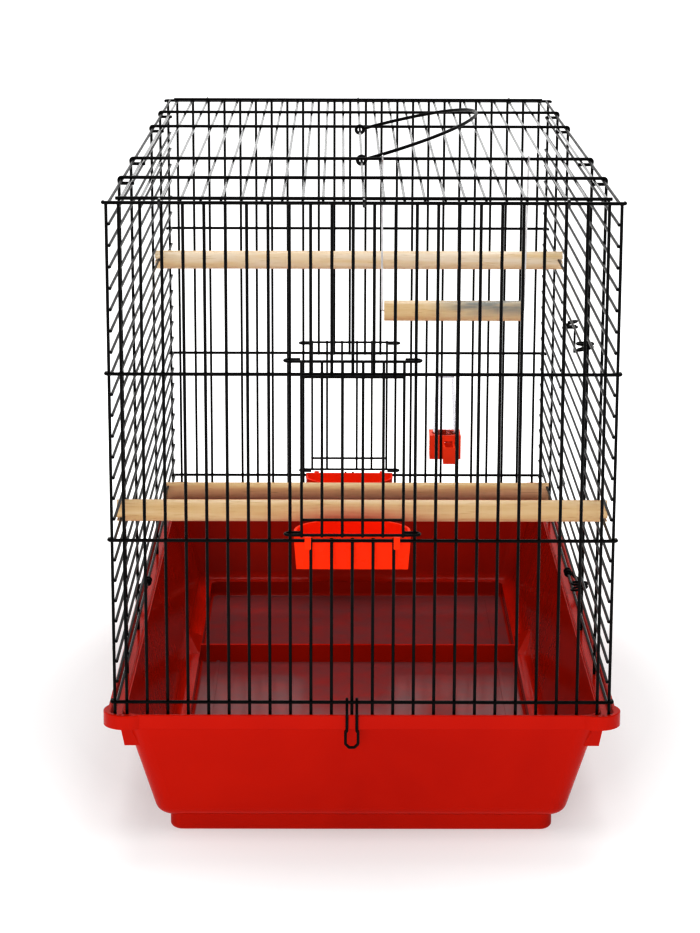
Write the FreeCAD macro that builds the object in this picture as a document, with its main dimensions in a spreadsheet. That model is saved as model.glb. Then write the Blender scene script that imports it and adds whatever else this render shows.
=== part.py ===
import FreeCAD, Part
import Sketcher
import math
import os

Vector = FreeCAD.Vector

# Bird cage on a plastic tray. +Z is up, the origin is the middle of the foot on the floor,
# the long side runs along Y and the near end panel faces -Y. All lengths are millimetres.

DRIVING = (
    ("cage_length", 560.0),
    ("cage_width", 290.0),
    ("tray_height", 84.8),
    ("rail_lift", 7.0),
    ("rail_pitch", 98.0),
    ("rail_count", 4),
    ("rail_row_count", 8),
    ("upright_count", 24),
    ("roof_bar_count", 25),
    ("post_gap_count", 6),
    ("panel_inset", 7.0),
    ("bar_radius", 0.75),
    ("rail_radius", 0.85),
    ("hanger_radius", 0.6),
    ("handle_radius", 1.0),
    ("running_gap", 0.35),
    ("stub_length", 2.0),
    ("cross_shift", 2.6),
    ("cross_tail", 9.0),
    ("end_cross_inset", 5.5),
    ("hook_drop", 2.0),
    ("rim_overhang", 5.0),
    ("rim_height", 8.5),
    ("ear_reach", 2.5),
    ("ear_radius", 14.0),
    ("lug_width", 9.5),
    ("lug_length", 14.0),
    ("lug_height", 16.0),
    ("lug_lean", 3.2),
    ("channel_width", 6.0),
    ("channel_depth", 3.0),
    ("lip_drop", 3.0),
    ("wall_thickness", 2.2),
    ("wall_lean_share", 0.27),
    ("foot_height", 11.4),
    ("foot_inset", 7.2),
    ("rim_corner", 8.0),
    ("rim_round", 0.7),
    ("foot_round", 3.0),
    ("tub_corner", 12.0),
    ("foot_corner", 8.0),
    ("floor_round", 8.0),
    ("sump_round", 3.0),
    ("ridge_height", 11.9),
    ("ridge_base", 8.0),
    ("ridge_crest", 3.0),
    ("ridge_position", 82.0),
    ("gusset_base", 44.0),
    ("gusset_rise", 11.3),
    ("rib_width", 2.4),
    ("rib_height", 1.0),
    ("rib_inset", 12.4),
    ("door_upright_count", 9),
    ("door_gap_count", 6),
    ("door_bar_count", 6),
    ("door_bar_inset", 6.75),
    ("door_rest", 4.0),
    ("door_tie_drop", 9.0),
    ("guide_reach", 2.9),
    ("guide_tail", 6.0),
    ("guide_clearance", 1.05),
    ("side_door_gap", 6.0),
    ("door_sill_row_count", 1),
    ("door_row_count", 14),
    ("edge_foot_share", 0.25),
    ("edge_head_share", 0.75),
    ("hinge_share", 0.5),
    ("hinge_reach", 6.8),
    ("latch_share", 0.892),
    ("latch_reach", 9.2),
    ("finger_length", 20.0),
    ("catch_share", 0.19),
    ("catch_length", 18.0),
    ("feeder_side_gap", 2.0),
    ("feeder_lip_gap", 0.4),
    ("feeder_depth", 38.0),
    ("feeder_height", 23.0),
    ("feeder_wall", 1.8),
    ("feeder_draft", 1.4),
    ("feeder_bow", 25.0),
    ("feeder_round", 0.6),
    ("tab_inset", 8.3),
    ("tab_width", 3.6),
    ("tab_thickness", 1.4),
    ("tab_drop", 7.2),
    ("handle_reach", 79.0),
    ("handle_lean", 15.5),
    ("eye_clearance", 0.8),
    ("eye_inset", 4.5),
    ("clip_width", 5.8),
    ("clip_loop", 7.4),
    ("clip_curve_share", 0.414),
    ("clip_step", 3.0),
    ("clip_tail", 10.5),
    ("left_clip_position", -24.0),
    ("right_clip_position", 0.0),
    ("perch_radius", 6.5),
    ("perch_overlap", 2.6),
    ("low_perch_row_count", 8),
    ("low_perch_seat", 4.0),
    ("low_perch_gap", 7.35),
    ("rear_perch_row_count", 1),
    ("rear_perch_seat", -3.95),
    ("rear_perch_gap", 38.35),
    ("top_perch_row_count", 16),
    ("top_perch_seat", -0.8),
    ("top_perch_share", 0.475),
    ("swing_bar_count", 1),
    ("swing_gap_count", 8),
    ("hanger_share", 0.15),
    ("swing_drop", 97.0),
    ("swing_end_gap", 1.5),
    ("pin_depth", 8.0),
    ("pin_gap", 0.05),
    ("drinker_shift", 2.6),
    ("drinker_width", 24.6),
    ("drinker_depth", 23.0),
    ("drinker_height", 19.0),
    ("drinker_rise", 13.2),
    ("drinker_wall", 1.6),
    ("trough_upright_count", 18),
    ("trough_side_gap", 0.55),
    ("trough_height", 13.0),
    ("trough_reach", 17.0),
    ("tube_height", 45.3),
    ("tube_foot_radius", 10.0),
    ("tube_head_radius", 7.0),
    ("tube_wall", 1.2),
    ("tube_insert", 6.0),
)

# Levels and positions that follow from the driving dimensions.
DERIVED = (
    ("rail_level", "tray_height + rail_lift"),
    ("roof_level", "rail_level + ( rail_count - 1 ) * rail_pitch"),
    ("row_pitch", "rail_pitch / rail_row_count"),
    ("half_length", "cage_length / 2"),
    ("half_width", "cage_width / 2"),
    ("post_pitch", "cage_length / post_gap_count"),
    ("wire_span", "cage_width - 2 * panel_inset"),
    ("bar_pitch", "wire_span / ( upright_count - 1 )"),
    ("roof_pitch", "wire_span / ( roof_bar_count - 1 )"),
    ("tight_bend", "3 * rail_radius / 2"),
    ("row_offset", "half_width - 2 * bar_radius"),
    ("rail_offset", "half_length + bar_radius + rail_radius"),
    ("row_half_length", "half_length + bar_radius - running_gap / 2"),
    ("lip_level", "tray_height - lip_drop"),
    ("ledge_level", "lip_level - channel_depth"),
    ("wire_top", "roof_level + bar_radius / 2"),
    ("cross_level", "roof_level + bar_radius + rail_radius"),
    ("inner_cross", "post_pitch - cross_shift"),
    ("outer_cross", "2 * post_pitch - cross_shift"),
    ("end_cross", "half_length - end_cross_inset"),
    ("rim_level", "tray_height - rim_height"),
    ("rim_width", "cage_width + 2 * rim_overhang"),
    ("rim_length", "cage_length + 2 * rim_overhang"),
    ("upstand_width", "rim_width - 2 * wall_thickness"),
    ("upstand_length", "rim_length - 2 * wall_thickness"),
    ("lip_width", "upstand_width - 2 * channel_width"),
    ("lip_length", "upstand_length - 2 * channel_width"),
    ("mouth_width", "lip_width - 2 * wall_thickness"),
    ("mouth_length", "lip_length - 2 * wall_thickness"),
    ("floor_level", "foot_height + wall_thickness"),
    ("floor_lean", "2 * wall_lean_share * ( lip_level - floor_level )"),
    ("floor_width", "mouth_width - floor_lean"),
    ("floor_length", "mouth_length - floor_lean"),
    ("skirt_lean", "2 * wall_lean_share * ( lip_level - rim_level )"),
    ("tub_width", "mouth_width + 2 * wall_thickness - skirt_lean"),
    ("tub_length", "mouth_length + 2 * wall_thickness - skirt_lean"),
    ("tub_lean", "2 * wall_lean_share * ( rim_level - foot_height )"),
    ("base_width", "tub_width - tub_lean"),
    ("base_length", "tub_length - tub_lean"),
    ("foot_width", "base_width - 2 * foot_inset"),
    ("foot_length", "base_length - 2 * foot_inset"),
    ("sump_width", "foot_width - 2 * wall_thickness"),
    ("sump_length", "foot_length - 2 * wall_thickness"),
    ("ridge_half", "( sump_width + wall_thickness ) / 2"),
    ("crest_level", "wall_thickness + ridge_height"),
    ("gusset_top", "crest_level + gusset_rise"),
    ("gusset_length", "( floor_width - sump_width ) / 2 - 2 * running_gap"),
    ("gusset_foot", "( floor_width + sump_width ) / 4"),
    ("gusset_head", "floor_width / 2 + wall_lean_share * ( gusset_top - floor_level )"),
    ("rib_spread", "sump_width / 2 - rib_inset"),
    ("rib_length", "sump_length - 2 * rib_inset"),
    ("door_width", "door_gap_count * bar_pitch"),
    ("door_left", "( door_upright_count - ( upright_count + 1 ) / 2 ) * bar_pitch"),
    ("door_offset", "door_left + door_width / 2"),
    ("door_bar_pitch", "( door_width - 2 * door_bar_inset ) / ( door_bar_count - 1 )"),
    ("door_edge", "post_pitch - side_door_gap"),
    ("door_low_row", "rail_level + door_sill_row_count * row_pitch"),
    ("door_height", "( door_row_count - 1 ) * row_pitch"),
    ("door_plane", "half_width + running_gap"),
    ("door_bar_plane", "door_plane - 2 * bar_radius"),
    ("door_catch_plane", "door_plane + 2 * bar_radius"),
    ("guide_inner", "half_length - 2 * bar_radius - running_gap"),
    ("guide_outer", "rail_offset + rail_radius + bar_radius + guide_clearance"),
    ("feeder_width", "door_width - 2 * feeder_side_gap"),
    ("feeder_face", "half_length - bar_radius - running_gap"),
    ("feeder_back", "feeder_face - feeder_depth"),
    ("feeder_top", "rail_level + rail_radius + running_gap + tab_thickness"),
    ("feeder_lip_inset", "feeder_face - mouth_length / 2 + feeder_lip_gap"),
    ("feeder_front_draft", "feeder_height * feeder_lip_inset / ( feeder_top - lip_level )"),
    ("tab_spread", "feeder_width / 2 - tab_inset"),
    ("low_perch_row", "rail_level + low_perch_row_count * row_pitch"),
    ("low_perch_position", "perch_radius + low_perch_gap - feeder_back"),
    ("rear_perch_row", "rail_level + rear_perch_row_count * row_pitch"),
    ("rear_perch_position", "feeder_back - rear_perch_gap - perch_radius"),
    ("top_perch_row", "rail_level + top_perch_row_count * row_pitch"),
    ("top_perch_position", "top_perch_share * half_length"),
    ("swing_span", "swing_gap_count * roof_pitch"),
    ("swing_middle", "( swing_bar_count + hanger_share ) * roof_pitch + swing_span / 2"),
    ("swing_perch_length", "swing_span - 3 * swing_end_gap"),
    ("swing_perch_start", "swing_middle - swing_span / 2 + swing_end_gap"),
    ("trough_offset", "( trough_upright_count - upright_count / 2 ) * bar_pitch"),
    ("trough_width", "bar_pitch - 2 * bar_radius - 2 * trough_side_gap"),
    ("drinker_offset", "trough_offset - drinker_shift"),
)

doc = FreeCAD.newDocument("BirdCage")
sheet = doc.addObject("Spreadsheet::Sheet", "Dims")
names = [alias for alias, _ in DRIVING] + [alias for alias, _ in DERIVED]
cells = [str(size) for _, size in DRIVING] + ["=" + formula for _, formula in DERIVED]
for line, (alias, text) in enumerate(zip(names, cells), start=1):
    sheet.set(f"A{line}", alias)
    sheet.set(f"B{line}", text)
    sheet.setAlias(f"B{line}", alias)
doc.recompute()

TURNS = {
    "x": FreeCAD.Rotation(Vector(0, 1, 0), 90),
    "y": FreeCAD.Rotation(Vector(1, 0, 0), -90),
    "z": FreeCAD.Rotation(),
}
TINY = 1e-6
nodes = []


def cell(formula):
    """Turns a formula in sheet names into an expression that reads the sheet."""
    words = formula.replace("(", " ( ").replace(")", " ) ").split()
    return " ".join(f"{sheet.Name}.{word}" if word in names else word for word in words)


def size(formula):
    """Works a formula in sheet names out to a number."""
    return float(sheet.evalExpression(cell(formula)))


def bind(thing, fields):
    """Ties each named field of a thing to its formula in sheet names."""
    for field, formula in fields.items():
        thing.setExpression(field, cell(formula))
    return thing


def place(thing, base):
    """Ties the position of a thing to three formulas in sheet names."""
    return bind(thing, {f"Placement.Base.{axis}": formula for axis, formula in zip("xyz", base)})


def straight(name, along, radius, length, start):
    """Adds one straight wire whose radius, length and start are formulas."""
    wire = doc.addObject("Part::Cylinder", name)
    wire.Placement = FreeCAD.Placement(Vector(), TURNS[along])
    bind(wire, {"Radius": radius, "Height": length})
    return place(wire, start)


def box(name, extent, start):
    """Adds one box whose extent and start are formulas."""
    block = doc.addObject("Part::Box", name)
    bind(block, dict(zip(("Length", "Width", "Height"), extent)))
    return place(block, start)


def shaped(name, shape, base, turn=0, about=Vector(0, 0, 1)):
    """Adds one bent or moulded piece, turned about an axis by degrees and placed by formulas."""
    piece = doc.addObject("Part::Feature", name)
    piece.Shape = shape
    piece.Placement = FreeCAD.Placement(Vector(), FreeCAD.Rotation(about, turn))
    return place(piece, base)


def node(thing, label):
    """Names a finished sub-part."""
    thing.Label = label
    nodes.append(thing)
    return thing


def group(label, members):
    """Collects the wires of one welded sub-part."""
    welded = doc.addObject("Part::Compound", label + "_group")
    welded.Links = members
    return node(welded, label)


def boolean(kind, name, base, tool):
    """Joins or cuts two pieces."""
    result = doc.addObject("Part::" + kind, name)
    result.Base = base
    result.Tool = tool
    return result


def bent_wire(points, bend, radius, closed=False):
    """Sweeps a round wire along straight runs that meet in round bends."""
    corners = list(zip(points, points[1:], points[2:]))
    start = points[0]
    if closed:
        start = (points[-1] + points[0]) / 2
        ring = [start] + points + [start]
        corners = list(zip(ring, ring[1:], ring[2:]))
    finish = start if closed else points[-1]
    opening = start
    heading = (corners[0][1] if corners else points[1]) - start
    edges = []
    for before, corner, after in corners:
        back = (before - corner).normalize()
        ahead = (after - corner).normalize()
        half_angle = back.getAngle(ahead) / 2
        reach = bend / math.tan(half_angle)
        first = corner + back * reach
        last = corner + ahead * reach
        bisector = (back + ahead).normalize()
        middle = corner + bisector * (bend / math.sin(half_angle) - bend)
        if start.distanceToPoint(first) > TINY:
            edges.append(Part.LineSegment(start, first).toShape())
        edges.append(Part.Arc(first, middle, last).toShape())
        start = last
    if start.distanceToPoint(finish) > TINY:
        edges.append(Part.LineSegment(start, finish).toShape())
    section = Part.Wire(Part.makeCircle(radius, opening, heading))
    return Part.Wire(edges).makePipeShell([section], True, False)


def with_mirror(points, flip):
    """Follows a half path by its mirror image."""
    return points + [Vector(p.x * flip.x, p.y * flip.y, p.z * flip.z) for p in reversed(points)]


BAR = size("bar_radius")
RAIL = size("rail_radius")
GAP = size("running_gap")
BEND = size("tight_bend")
FLIP_X = Vector(-1, 1, 1)
FLIP_Y = Vector(1, -1, 1)
RAIL_COUNT = int(size("rail_count"))
ROW_COUNT = int(size("( rail_count - 1 ) * rail_row_count")) + 1
HALF_POSTS = int(size("post_gap_count / 2"))
POST_STEPS = [step for step in range(-HALF_POSTS, HALF_POSTS + 1) if step != 0]


# Tray: tapered tub on a foot, with a channel round the rim that the wires stand in.

def plane_of(body, role):
    """Finds one origin plane of a body."""
    return next(f for f in body.Origin.OriginFeatures if f.Role == role)


def level_sketch(body, name, level):
    """Adds an empty level sketch to a body."""
    sketch = body.newObject("Sketcher::SketchObject", name)
    sketch.AttachmentSupport = (plane_of(body, "XY_Plane"), [""])
    sketch.MapMode = "FlatFace"
    bind(sketch, {"AttachmentOffset.Base.z": level})
    return sketch


def rounded_plan(body, name, level, width, length, corner):
    """Adds a rounded rectangle about the origin, with its sizes tied to the sheet."""
    sketch = level_sketch(body, name, level)
    half_x = size(width) / 2
    half_y = size(length) / 2
    radius = size(corner)
    inner_x = half_x - radius
    inner_y = half_y - radius
    sides = (
        (Vector(-inner_x, -half_y, 0), Vector(inner_x, -half_y, 0)),
        (Vector(half_x, -inner_y, 0), Vector(half_x, inner_y, 0)),
        (Vector(inner_x, half_y, 0), Vector(-inner_x, half_y, 0)),
        (Vector(-half_x, inner_y, 0), Vector(-half_x, -inner_y, 0)),
    )
    centres = (
        Vector(inner_x, -inner_y, 0), Vector(inner_x, inner_y, 0),
        Vector(-inner_x, inner_y, 0), Vector(-inner_x, -inner_y, 0),
    )
    up = Vector(0, 0, 1)
    lines = [sketch.addGeometry(Part.LineSegment(a, b), False) for a, b in sides]
    arcs = []
    for turn, centre in enumerate(centres):
        begin = (turn - 1) * math.pi / 2
        circle = Part.Circle(centre, up, radius)
        arcs.append(sketch.addGeometry(Part.ArcOfCircle(circle, begin, begin + math.pi / 2), False))
    for turn in range(len(lines)):
        following = lines[(turn + 1) % len(lines)]
        sketch.addConstraint(Sketcher.Constraint("Tangent", lines[turn], 2, arcs[turn], 1))
        sketch.addConstraint(Sketcher.Constraint("Tangent", arcs[turn], 2, following, 1))
    for kind, line in zip(("Horizontal", "Vertical", "Horizontal", "Vertical"), lines):
        sketch.addConstraint(Sketcher.Constraint(kind, line))
    for arc in arcs[1:]:
        sketch.addConstraint(Sketcher.Constraint("Equal", arcs[0], arc))
    sketch.addConstraint(Sketcher.Constraint("Symmetric", arcs[0], 3, arcs[2], 3, -1, 1))
    measures = (
        ("width", Sketcher.Constraint("Distance", lines[1], 1, lines[3], 2 * half_x), width),
        ("length", Sketcher.Constraint("Distance", lines[0], 1, lines[2], 2 * half_y), length),
        ("corner", Sketcher.Constraint("Radius", arcs[0], radius), corner),
    )
    for label, constraint, formula in measures:
        sketch.renameConstraint(sketch.addConstraint(constraint), label)
        bind(sketch, {f"Constraints.{label}": formula})
    return sketch


def spots(body, name, level, centres, half_x, half_y):
    """Adds rectangles of one size about stated centres, worked out from their formulas."""
    sketch = level_sketch(body, name, level)
    reach_x = size(half_x)
    reach_y = size(half_y)
    for x_formula, y_formula in centres:
        x = size(x_formula)
        y = size(y_formula)
        ring = [
            Vector(x - reach_x, y - reach_y, 0), Vector(x + reach_x, y - reach_y, 0),
            Vector(x + reach_x, y + reach_y, 0), Vector(x - reach_x, y + reach_y, 0),
        ]
        for a, b in zip(ring, ring[1:] + ring[:1]):
            sketch.addGeometry(Part.LineSegment(a, b), False)
    return sketch


def pad(body, name, sketch, length):
    """Pads a sketch upwards by a formula."""
    feature = body.newObject("PartDesign::Pad", name)
    feature.Profile = sketch
    bind(feature, {"Length": length})
    return feature


def pocket(body, name, sketch, length):
    """Cuts a sketch downwards by a formula."""
    feature = body.newObject("PartDesign::Pocket", name)
    feature.Profile = sketch
    bind(feature, {"Length": length})
    return feature


def loft(body, kind, name, low, high):
    """Lofts between two sketches."""
    feature = body.newObject("PartDesign::" + kind, name)
    feature.Profile = low
    feature.Sections = [high]
    return feature


def outer_edges(shape, level, half_x, half_y):
    """Names the edges at one level that lie outside a plan of stated half sizes."""
    found = []
    for number, edge in enumerate(shape.Edges, start=1):
        bounds = edge.BoundBox
        middle = edge.valueAt((edge.FirstParameter + edge.LastParameter) / 2)
        level_edge = abs(bounds.ZMin - level) < TINY and abs(bounds.ZMax - level) < TINY
        if level_edge and (abs(middle.x) > half_x or abs(middle.y) > half_y):
            found.append(f"Edge{number}")
    return found


def round_off(body, name, feature, edges, radius):
    """Rounds named edges of the last feature."""
    fillet = body.newObject("PartDesign::Fillet", name)
    fillet.Base = (feature, edges)
    bind(fillet, {"Radius": radius})
    return fillet


def build_tray():
    """Models the tray as one moulded body."""
    body = doc.addObject("PartDesign::Body", "TrayBody")
    corner = "tub_corner"
    foot = rounded_plan(body, "FootPlan", "0", "foot_width", "foot_length", "foot_corner")
    pad(body, "Foot", foot, "foot_height")
    low = rounded_plan(body, "BasePlan", "foot_height", "base_width", "base_length", corner)
    high = rounded_plan(body, "TubPlan", "rim_level", "tub_width", "tub_length", corner)
    tub = loft(body, "AdditiveLoft", "Tub", low, high)
    doc.recompute()
    bottom = outer_edges(tub.Shape, size("foot_height"), size("foot_width / 2") + TINY,
                         size("foot_length / 2") + TINY)
    round_off(body, "TubRound", tub, bottom, "floor_round")
    rim = rounded_plan(body, "RimPlan", "rim_level", "rim_width", "rim_length", "rim_corner")
    pad(body, "Rim", rim, "rim_height")
    sides = ("", "-1 * ")
    ear_x = "( rim_width / 2 + ear_reach - ear_radius )"
    ear_y = "( rim_length / 2 + ear_reach - ear_radius )"
    ears = level_sketch(body, "EarPlan", "rim_level")
    for sign_x in sides:
        for sign_y in sides:
            centre = Vector(size(sign_x + ear_x), size(sign_y + ear_y), 0)
            ears.addGeometry(Part.Circle(centre, Vector(0, 0, 1), size("ear_radius")), False)
    pad(body, "Ears", ears, "rim_height")
    lug_x = "( tub_width / 2 - wall_thickness / 2 )"
    lug_y = "( tub_length / 2 - lug_length )"
    lug_foot_x = "( tub_width / 2 - wall_thickness / 2 - lug_lean )"
    for end, sign_y in zip(("Far", "Near"), sides):
        for side, sign_x in zip(("Right", "Left"), sides):
            foot_spot = [(sign_x + lug_foot_x, sign_y + lug_y)]
            head_spot = [(sign_x + lug_x, sign_y + lug_y)]
            low = spots(body, f"{end}{side}LugFoot", "rim_level - lug_height", foot_spot,
                        "lug_width / 2", "lug_length / 2")
            high = spots(body, f"{end}{side}LugHead", "rim_level", head_spot,
                         "lug_width / 2", "lug_length / 2")
            loft(body, "AdditiveLoft", f"{end}{side}Lug", low, high)
    well = rounded_plan(body, "WellPlan", "tray_height", "upstand_width", "upstand_length",
                        "rim_corner - wall_thickness")
    pocket(body, "Well", well, "tray_height - ledge_level")
    lip = rounded_plan(body, "LipPlan", "ledge_level", "lip_width", "lip_length", "tub_corner")
    pad(body, "Lip", lip, "channel_depth")
    floor = rounded_plan(body, "FloorPlan", "floor_level", "floor_width", "floor_length",
                         "tub_corner - wall_thickness")
    mouth = rounded_plan(body, "MouthPlan", "lip_level", "mouth_width", "mouth_length",
                         "tub_corner - wall_thickness")
    cavity = loft(body, "SubtractiveLoft", "Cavity", floor, mouth)
    doc.recompute()
    loop = outer_edges(cavity.Shape, size("floor_level"), 0, 0)
    round_off(body, "FloorRound", cavity, loop, "floor_round")
    sump = rounded_plan(body, "SumpPlan", "floor_level", "sump_width", "sump_length",
                        "foot_corner - wall_thickness")
    well_floor = pocket(body, "Sump", sump, "foot_height")
    doc.recompute()
    loop = outer_edges(well_floor.Shape, size("wall_thickness"), 0, 0)
    round_off(body, "SumpRound", well_floor, loop, "sump_round")
    ridge_spot = [("0", "ridge_position")]
    ridge_low = spots(body, "RidgePlan", "wall_thickness", ridge_spot, "ridge_half", "ridge_base / 2")
    ridge_high = spots(body, "CrestPlan", "crest_level", ridge_spot, "ridge_half", "ridge_crest / 2")
    loft(body, "AdditiveLoft", "Ridge", ridge_low, ridge_high)
    for name, sign_x in zip(("Left", "Right"), ("-1 * ", "")):
        foot_spot = [(sign_x + "gusset_foot", "ridge_position")]
        head_spot = [(sign_x + "gusset_head", "ridge_position")]
        low = spots(body, f"{name}GussetPlan", "floor_level", foot_spot,
                    "gusset_length / 2", "gusset_base / 2")
        high = spots(body, f"{name}GussetTop", "gusset_top", head_spot,
                     "wall_thickness / 2", "ridge_crest / 2")
        loft(body, "AdditiveLoft", f"{name}Gusset", low, high)
    rib_spots = [(sign_x + "rib_spread", "0") for sign_x in sides]
    ribs = spots(body, "RibPlan", "wall_thickness", rib_spots, "rib_width / 2", "rib_length / 2")
    moulded = pad(body, "Ribs", ribs, "rib_height")
    for name, level, radius in (("FootRound", "0", "foot_round"), ("LipRound", "lip_level", "rim_round"),
                                ("RimRound", "tray_height", "rim_round")):
        doc.recompute()
        loops = outer_edges(moulded.Shape, size(level), 0, 0)
        moulded = round_off(body, name, moulded, loops, radius)
    doc.recompute()
    body.Tip = moulded
    return node(body, "tray")


build_tray()


# End panels: uprights inside, rails outside, and a feeder opening above one rail.

def end_panel(name, side, sill):
    """Adds the uprights and rails of one end panel; the feeder opening stands on the sill rail."""
    uprights = []
    sill_level = f"rail_level + {sill} * rail_pitch"
    head_level = f"rail_level + {sill + 1} * rail_pitch"
    for index in range(int(size("upright_count"))):
        across = f"( {index} - ( upright_count - 1 ) / 2 ) * bar_pitch"
        runs = [("ledge_level", "wire_top")]
        if abs(size(f"{across} - door_offset")) < size("door_width") / 2 - TINY:
            runs = [("ledge_level", f"{sill_level} + rail_radius"),
                    (f"{head_level} - rail_radius", "wire_top")]
        for low, high in runs:
            start = (across, f"{side} * half_length", low)
            length = f"{high} - ( {low} )"
            uprights.append(straight(f"{name}_upright", "z", "bar_radius", length, start))
    group(f"{name}_uprights", uprights)
    reach = size("half_width") + BAR + RAIL + GAP / 2
    hook = [
        Vector(-reach, side * (size("half_length") - size("stub_length")), 0),
        Vector(-reach, side * size("rail_offset"), 0),
    ]
    rail = bent_wire(with_mirror(hook, FLIP_X), BEND, RAIL)
    rails = []
    for index in range(RAIL_COUNT):
        level = f"rail_level + {index} * rail_pitch"
        rails.append(shaped(f"{name}_rail", rail, ("0", "0", level)))
    group(f"{name}_rails", rails)


NEAR = -1
FAR = 1
NEAR_SILL = 1
FAR_SILL = 0
end_panel("near", NEAR, NEAR_SILL)
end_panel("far", FAR, FAR_SILL)


# Side panels: close rows inside, posts outside, and a door opening in the right-hand panel.

def side_panel(name, side, has_door):
    """Adds the rows and posts of one side panel."""
    rows = []
    for index in range(ROW_COUNT):
        level = f"rail_level + {index} * row_pitch"
        offset = f"{side} * row_offset"
        runs = [("-1 * row_half_length", "row_half_length")]
        if has_door and 0 <= index - size("door_sill_row_count") < size("door_row_count"):
            edge = "post_pitch - bar_radius"
            runs = [("-1 * row_half_length", f"-1 * ( {edge} )"), (edge, "row_half_length")]
        for low, high in runs:
            length = f"{high} - ( {low} )"
            rows.append(straight(f"{name}_row", "y", "bar_radius", length, (offset, low, level)))
    group(f"{name}_rows", rows)
    posts = []
    for step in POST_STEPS:
        start = (f"{side} * half_width", f"{step} * post_pitch", "ledge_level")
        posts.append(straight(f"{name}_post", "z", "bar_radius", "wire_top - ledge_level", start))
    group(f"{name}_posts", posts)


LEFT = -1
RIGHT = 1
side_panel("left", LEFT, False)
side_panel("right", RIGHT, True)


# Roof: long bars below, cross wires on top, hooked over the panels' top wires.

BARS_OUTSIDE_HOOKS = 2


def build_roof():
    """Adds the roof bars and cross wires."""
    half_count = (int(size("roof_bar_count")) - 1) // 2
    hook_steps = (BARS_OUTSIDE_HOOKS - half_count, 0, half_count - BARS_OUTSIDE_HOOKS)
    bars = []
    for step in range(-half_count, half_count + 1):
        if step not in hook_steps:
            half = "( end_cross + stub_length )"
            start = (f"{step} * roof_pitch", f"-1 * {half}", "roof_level")
            bars.append(straight("roof_bar", "y", "bar_radius", f"2 * {half}", start))
    group("roof_bars", bars)
    over = RAIL + BAR + GAP / 2
    outside = size("rail_offset") + over + GAP
    rise = size("end_cross") + RAIL + BAR
    hook = [
        Vector(0, -outside, -size("hook_drop")),
        Vector(0, -outside, over),
        Vector(0, -size("rail_offset") + over, over),
        Vector(0, -rise, 0),
    ]
    hooked = bent_wire(with_mirror(hook, FLIP_Y), BAR + GAP / 2, BAR)
    group("roof_hooked_bars", [
        shaped("roof_hooked_bar", hooked, (f"{step} * roof_pitch", "0", "roof_level"))
        for step in hook_steps
    ])
    half = "( wire_span / 2 + stub_length )"
    group("roof_end_wires", [
        straight("roof_end_wire", "x", "rail_radius", f"2 * {half}", (f"-1 * {half}", spot, "cross_level"))
        for spot in ("end_cross", "-1 * end_cross")
    ])
    wrap = size("row_offset") + BAR + RAIL + GAP / 2
    under = -2 * (BAR + RAIL + GAP / 2)
    tail = [
        Vector(-(wrap - size("cross_tail")), 0, under),
        Vector(-wrap, 0, under),
        Vector(-wrap, 0, 0),
    ]
    cross = bent_wire(with_mirror(tail, FLIP_X), -under / 2 - GAP / 2, RAIL)
    group("roof_cross_wires", [
        shaped("roof_cross_wire", cross, ("0", spot, "cross_level"))
        for spot in ("outer_cross", "inner_cross", "-1 * inner_cross", "-1 * outer_cross")
    ])


build_roof()


# Feeder doors: bars on two guide wires whose ends hook round the uprights beside the opening.

def feeder_door(name, side, sill):
    """Adds one sliding feeder door outside an end panel."""
    low = f"rail_level + {sill} * rail_pitch + door_rest"
    high = f"{low} + rail_pitch + door_rest"
    reach = size("door_width / 2 + guide_reach")
    tail = size("door_width / 2 - guide_tail")
    inner = side * size("guide_inner")
    outer = side * size("guide_outer")
    hook = [Vector(-tail, inner, 0), Vector(-reach, inner, 0), Vector(-reach, outer, 0)]
    guide = bent_wire(with_mirror(hook, FLIP_X), abs(outer - inner) / 2 - GAP / 2, BAR)
    guides = [shaped(f"{name}_guide", guide, ("door_offset", "0", level)) for level in (low, high)]
    group(f"{name}_guides", guides)
    bar_plane = f"{side} * ( guide_outer + 2 * bar_radius )"
    bars = []
    for index in range(int(size("door_bar_count"))):
        across = f"door_offset + ( {index} - ( door_bar_count - 1 ) / 2 ) * door_bar_pitch"
        start = (across, bar_plane, f"{low} - bar_radius")
        length = f"{high} - ( {low} ) + 2 * bar_radius"
        bars.append(straight(f"{name}_bar", "z", "bar_radius", length, start))
    group(f"{name}_bars", bars)
    half = "( ( door_bar_count - 1 ) / 2 * door_bar_pitch + bar_radius )"
    ties = []
    for level in (f"{low} + door_tie_drop", f"{high} - door_tie_drop"):
        start = (f"door_offset - {half}", f"{side} * guide_outer", level)
        ties.append(straight(f"{name}_tie", "x", "bar_radius", f"2 * {half}", start))
    group(f"{name}_ties", ties)


feeder_door("near_door", NEAR, NEAR_SILL)
feeder_door("far_door", FAR, FAR_SILL)


# Side door: bars between two edge wires, looped round one post and caught on the next.

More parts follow.
